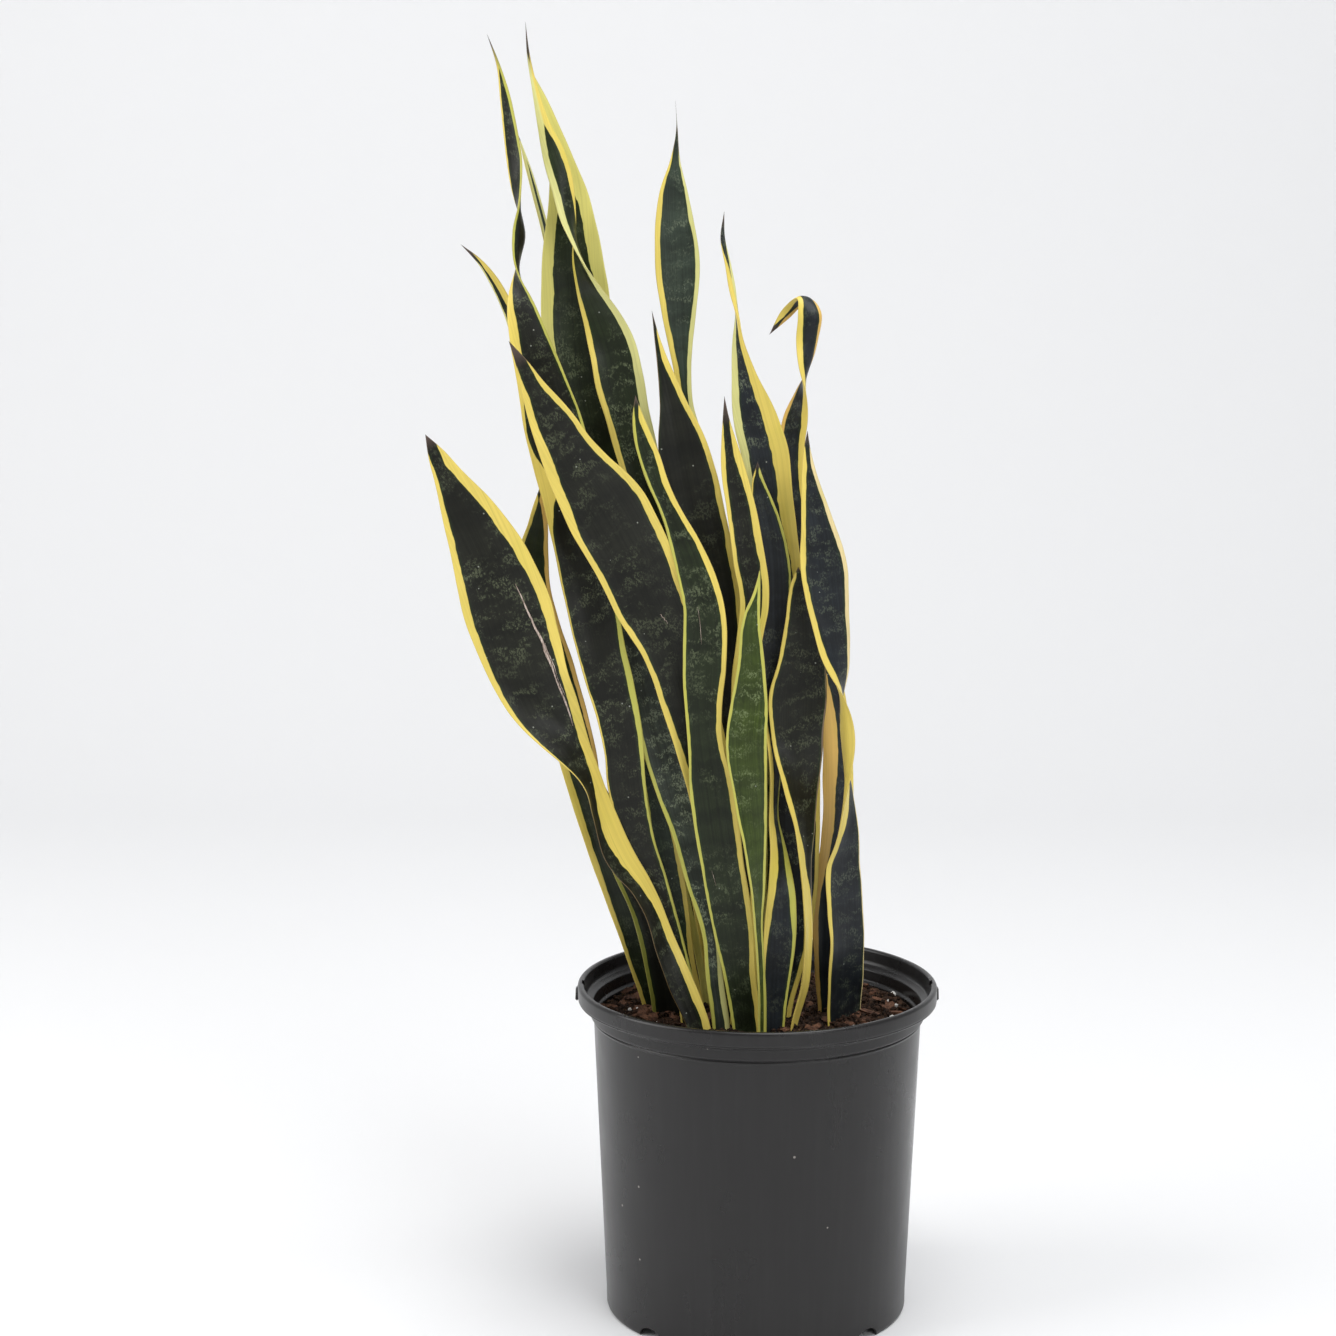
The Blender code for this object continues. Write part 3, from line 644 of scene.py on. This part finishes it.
def make_soil(material):
    """The lumpy top, a short side and a flat underside inside the pot."""
    angles = [math.tau * spoke / SOIL_SPOKES for spoke in range(SOIL_SPOKES)]
    points = [(0.0, 0.0, soil_height(0.0, 0.0))]
    for ring in range(1, SOIL_RINGS + 1):
        radius = SOIL_RADIUS * ring / SOIL_RINGS
        for angle in angles:
            x, y = radius * math.cos(angle), radius * math.sin(angle)
            points.append((x, y, soil_height(x, y)))
    drop = len(points)
    for angle in angles:
        x, y = SOIL_RADIUS * 0.97 * math.cos(angle), SOIL_RADIUS * 0.97 * math.sin(angle)
        points.append((x, y, SOIL_TOP - SOIL_DEPTH))
    faces = [(0, 1 + a, 1 + (a + 1) % SOIL_SPOKES) for a in range(SOIL_SPOKES)]
    for ring in range(SOIL_RINGS):
        low = 1 + ring * SOIL_SPOKES
        for a in range(SOIL_SPOKES):
            b = (a + 1) % SOIL_SPOKES
            faces.append((low + a, low + a + SOIL_SPOKES, low + b + SOIL_SPOKES, low + b))
    faces.append(tuple(reversed(range(drop, drop + SOIL_SPOKES))))
    return belongs(mesh_object("soil_surface", points, faces, material), "soil", "potting_soil")


def lump_template(subdivisions):
    bm = bmesh.new()
    bmesh.ops.create_icosphere(bm, subdivisions=subdivisions, radius=1.0)
    points = np.array([vert.co for vert in bm.verts])
    faces = np.array([[vert.index for vert in face.verts] for face in bm.faces])
    bm.free()
    return points, faces


def scatter(name, places, size_range, stretch, material, seed, subdivisions=1, sink=0.3):
    """Many rough lumps, each turned, stretched and knocked out of round, as one piece."""
    rng = np.random.default_rng(seed)
    template, template_faces = lump_template(subdivisions)
    all_points, all_faces = [], []
    for count, (x, y) in enumerate(places):
        size = rng.uniform(*size_range) * MM / 2
        axes = np.array([rng.uniform(*stretch[0]), rng.uniform(*stretch[1]), rng.uniform(*stretch[2])])
        knocks = 1.0 + rng.uniform(-0.28, 0.28, len(template))[:, None]
        lump = template * knocks * axes * size
        yaw, tilt = rng.uniform(0, math.tau), rng.uniform(-0.5, 0.5)
        c, s = math.cos(tilt), math.sin(tilt)
        lump = lump @ np.array([[c, 0, s], [0, 1, 0], [-s, 0, c]]).T
        c, s = math.cos(yaw), math.sin(yaw)
        lump = lump @ np.array([[c, -s, 0], [s, c, 0], [0, 0, 1]]).T
        up = soil_height(x, y) + size * axes[2] * (1.0 - 2 * sink * rng.uniform(0.2, 1.2))
        all_points.append(lump + np.array([x, y, up]))
        all_faces.append(template_faces + count * len(template))
    points, faces = np.concatenate(all_points), np.concatenate(all_faces)
    return belongs(mesh_object(name, points, faces, material, smooth=False), "soil")


def spread(count, seed, reach=0.985):
    """Random places, spread evenly over the soil."""
    rng = np.random.default_rng(seed)
    radius = SOIL_RADIUS * reach * np.sqrt(rng.uniform(0, 1, count))
    angle = rng.uniform(0, math.tau, count)
    return list(zip(radius * np.cos(angle), radius * np.sin(angle)))


def make_soil_bits():
    crumb = earth_material("soil_crumbs", (0.010, 0.006, 0.004), (0.055, 0.028, 0.017), 260.0)
    bark = earth_material("bark_chips", (0.034, 0.014, 0.008), (0.17, 0.082, 0.048), 120.0, 0.85)
    fibre = earth_material("peat_fibre", (0.03, 0.016, 0.009), (0.15, 0.085, 0.045), 300.0)
    perlite = earth_material("perlite", (0.62, 0.60, 0.56), (0.86, 0.85, 0.82), 600.0, 0.9)
    even = [(0.7, 1.2)] * 3
    scatter("soil_crumb_grains", spread(CRUMBS, 11), (1.2, 4.6), even, crumb, 21)
    scatter("soil_fine_grains", spread(FINE_GRAINS, 12), (0.8, 2.0), even, fibre, 22)
    flat = [(1.0, 1.8), (0.5, 0.9), (0.18, 0.35)]
    scatter("bark_chip_pieces", SEEN_BARK + spread(BARK_CHIPS, 13), (6.0, 12.0), flat, bark, 23, 2, 0.1)
    scatter("perlite_grains", SEEN_PERLITE + spread(PERLITE_GRAINS, 14), (2.2, 3.8), even, perlite, 24, 2, 0.1)


# ---------------------------------------------------------------- pot

def rounded(points, radius, steps=4):
    """The polyline with each inner corner turned into a short arc."""
    result = [Vector(points[0])]
    for before, corner, after in zip(points, points[1:], points[2:]):
        before, corner, after = Vector(before), Vector(corner), Vector(after)
        back = min(radius, (before - corner).length * 0.45)
        on = min(radius, (after - corner).length * 0.45)
        start = corner + (before - corner).normalized() * back
        end = corner + (after - corner).normalized() * on
        for step in range(steps + 1):
            t = step / steps
            result.append((1 - t) ** 2 * start + 2 * t * (1 - t) * corner + t * t * end)
    result.append(Vector(points[-1]))
    return result


def pot_profile():
    """From the middle of the floor's top, up the inside, over the rim and down the outside, in mm."""
    rim, top = RIM_RADIUS / MM, POT_TOP / MM
    lip, band = top - LIP_DROP, top - BAND_DROP
    band_radius, wall_radius, base_radius = rim - BAND_INSET, rim - WALL_INSET, rim - BASE_INSET
    outline = [
        (0.0, WALL), (PAD_RADIUS + 1.0, WALL), (PAD_RADIUS + 5.0, FLOOR_TOP),
        (base_radius - WALL, FLOOR_TOP),
        (wall_radius - WALL - 0.3, band - 22.0), (wall_radius - WALL + 0.6, band - 21.0),
        (wall_radius - WALL + 0.2, band), (band_radius - WALL - 0.4, band + 1.5),
        (band_radius - WALL, lip - 1.0), (rim - 6.0, lip + 0.8), (rim - 5.2, lip + 3.0),
        (rim - 4.4, top - 1.0), (rim - 3.4, top), (rim - 1.2, top), (rim, top - 1.4),
        (rim, top - 9.6), (rim - 0.5, top - 10.4), (rim - 0.2, top - 11.0), (rim - 1.0, lip),
        (band_radius + 0.9, lip), (band_radius, lip - 0.9), (band_radius + 1.0, lip - 1.9),
        (band_radius + 0.9, lip - 2.6), (band_radius, lip - 3.2), (band_radius, band + 1.2),
        (band_radius - 0.9, band + 0.2), (wall_radius + 0.1, band - 0.4), (wall_radius + 0.9, band - 1.3),
        (wall_radius + 0.8, band - 2.0), (wall_radius, band - 2.8),
        (base_radius + 0.4, 12.0), (base_radius + 0.3, 2.0), (base_radius - 0.7, 0.0),
        (base_radius - WALL, 0.0), (base_radius - WALL - 0.4, FLOOR_UNDERSIDE),
        (PAD_RADIUS + 4.0, FLOOR_UNDERSIDE), (PAD_RADIUS, 0.0), (0.0, 0.0),
    ]
    return rounded(outline, 1.1)


def cutter_object(name, bm):
    bmesh.ops.recalc_face_normals(bm, faces=bm.faces)
    mesh = bpy.data.meshes.new(name)
    bm.to_mesh(mesh)
    bm.free()
    return bpy.data.objects.new(name, mesh)


def arch_cutter():
    """The rounded drain arches through the skirt."""
    bm = bmesh.new()
    for index in range(ARCH_COUNT):
        made = bmesh.ops.create_cone(bm, cap_ends=True, segments=32, radius1=0.5, radius2=0.5, depth=1.0)
        angle = math.tau * index / ARCH_COUNT
        for vert in made["verts"]:
            radial = RIM_RADIUS - ARCH_INSET * MM + vert.co.z * ARCH_CUT_DEPTH * MM
            sideways = vert.co.x * ARCH_WIDTH * MM
            up = vert.co.y * ARCH_ELLIPSE_HEIGHT * MM
            vert.co = (
                radial * math.sin(angle) + sideways * math.cos(angle),
                -radial * math.cos(angle) + sideways * math.sin(angle),
                up,
            )
    return cutter_object("arch_cutter", bm)


def notch_cutter():
    """Two hanger slots in the lip."""
    bm = bmesh.new()
    for side in (-1, 1):
        made = bmesh.ops.create_cube(bm, size=1.0)
        for vert in made["verts"]:
            vert.co.x = side * (RIM_RADIUS - SLOT_INSET * MM) + vert.co.x * SLOT_BOX[0] * MM
            vert.co.y = vert.co.y * SLOT_BOX[1] * MM
            vert.co.z = POT_TOP + vert.co.z * SLOT_BOX[2] * MM
    return cutter_object("notch_cutter", bm)


def make_pot(material):
    profile = pot_profile()
    points, faces = [(0.0, 0.0, profile[0].y * MM)], []
    inner = profile[1:-1]
    for index in range(POT_STEPS):
        angle = math.tau * index / POT_STEPS
        wobble = 1.0 + 0.0012 * math.sin(2 * angle + 0.6) + 0.0006 * math.sin(5 * angle)
        for point in inner:
            upper = min(1.0, max(0.0, point.y * MM / POT_TOP)) ** 2
            radius = point.x * MM * (1.0 + (wobble - 1.0) * upper)
            radius = min(radius, RIM_RADIUS * 1.001)
            points.append((radius * math.sin(angle), -radius * math.cos(angle), point.y * MM))
    points.append((0.0, 0.0, profile[-1].y * MM))
    count, last = len(inner), len(points) - 1
    for index in range(POT_STEPS):
        a, b = 1 + index * count, 1 + ((index + 1) % POT_STEPS) * count
        faces.append((0, a, b))
        for k in range(count - 1):
            faces.append((a + k, a + k + 1, b + k + 1, b + k))
        faces.append((last, b + count - 1, a + count - 1))
    pot = mesh_object("pot_shell", points, faces, material)
    bm = bmesh.new()
    bm.from_mesh(pot.data)
    bmesh.ops.recalc_face_normals(bm, faces=bm.faces)
    bm.to_mesh(pot.data)
    bm.free()
    for cutter in (arch_cutter(), notch_cutter()):
        bpy.context.scene.collection.objects.link(cutter)
        boolean = pot.modifiers.new(cutter.name, "BOOLEAN")
        boolean.operation = "DIFFERENCE"
        boolean.object = cutter
        bpy.context.view_layer.update()
        evaluated = pot.evaluated_get(bpy.context.evaluated_depsgraph_get())
        shaped = bpy.data.meshes.new_from_object(evaluated)
        pot.modifiers.clear()
        pot.data = shaped
        bpy.data.objects.remove(cutter, do_unlink=True)
    pot.data.shade_smooth()
    pot.data.set_sharp_from_angle(angle=math.radians(38))
    return belongs(pot, "pot_plastic", "nursery_pot")


def make_rim_tabs(material):
    """The small moulded tab outside the lip beside each hanger slot."""
    for name, side in (("rim_tab_left", -1), ("rim_tab_right", 1)):
        bm = bmesh.new()
        bmesh.ops.create_cube(bm, size=1.0)
        for vert in bm.verts:
            low = vert.co.z < 0
            vert.co.x = side * (RIM_RADIUS + (0.4 if low else 0.0) * MM) + vert.co.x * TAB_THICKNESS * MM
            vert.co.y = vert.co.y * (TAB_WIDTH_FOOT if low else TAB_WIDTH_TOP) * MM
            vert.co.z = POT_TOP - TAB_DROP * MM + vert.co.z * TAB_HEIGHT * MM
        bmesh.ops.bevel(bm, geom=list(bm.edges), offset=TAB_BEVEL * MM, segments=3, affect="EDGES")
        bmesh.ops.recalc_face_normals(bm, faces=bm.faces)
        mesh = bpy.data.meshes.new(name)
        bm.to_mesh(mesh)
        bm.free()
        mesh.materials.append(material)
        mesh.shade_smooth()
        tab = bpy.data.objects.new(name, mesh)
        bpy.context.scene.collection.objects.link(tab)
        belongs(tab, "pot_plastic")


# ---------------------------------------------------------------- stage, light and camera

def make_stage():
    """A pale floor that curves up into a backdrop."""
    near, bend, reach, top, half = -4.0, 1.6, 2.6, 4.5, 6.0
    radius = reach - bend
    line = [(near, 0.0), (bend, 0.0)]
    for step in range(1, 25):
        angle = math.pi / 2 * step / 24
        line.append((bend + radius * math.sin(angle), radius * (1 - math.cos(angle))))
    line.append((reach, top))
    points = [(side * half, y, z) for y, z in line for side in (-1, 1)]
    faces = [(2 * k, 2 * k + 1, 2 * k + 3, 2 * k + 2) for k in range(len(line) - 1)]
    mesh_object("studio_floor", points, faces, plain_material("pale_floor", (0.85, 0.853, 0.86), 0.85))


def area_light(name, place, size, power, colour):
    light = bpy.data.lights.new(name, "AREA")
    light.shape = "RECTANGLE"
    light.size, light.size_y = size
    light.energy = power
    light.color = colour
    obj = bpy.data.objects.new(name, light)
    obj.location = place
    obj.rotation_euler = (Vector(LIGHT_AIM) - Vector(place)).to_track_quat("-Z", "Y").to_euler()
    bpy.context.scene.collection.objects.link(obj)


def light_and_camera():
    scene = bpy.context.scene
    world = bpy.data.worlds.new("studio")
    scene.world = world
    world.use_nodes = True
    background = world.node_tree.nodes["Background"]
    background.inputs["Color"].default_value = (0.97, 0.98, 1.0, 1.0)
    background.inputs["Strength"].default_value = SURROUND_STRENGTH
    for name, place, size, power, colour in LIGHTS:
        area_light(name, place, size, power, colour)
    camera = bpy.data.cameras.new("camera")
    camera.sensor_width = 36.0
    camera.lens = CAMERA_LENS
    eye = bpy.data.objects.new("camera", camera)
    eye.location = CAMERA_PLACE
    eye.rotation_euler = (math.radians(CAMERA_TILT), 0.0, 0.0)
    scene.collection.objects.link(eye)
    scene.camera = eye
    scene.view_settings.view_transform = "Standard"


def main():
    light_and_camera()
    make_stage()
    waxy = leaf_material()
    for seed, node in enumerate(LEAF_LOOKS):
        make_leaf(node, seed, waxy)
    corky = scar_material()
    for index, (node, route, width) in enumerate(SCARS):
        make_scar(index, node, route, width, corky)
    make_soil(earth_material("potting_mix", (0.014, 0.008, 0.005), (0.060, 0.030, 0.017), 180.0))
    make_soil_bits()
    plastic = plastic_material()
    make_pot(plastic)
    make_rim_tabs(plastic)


main()
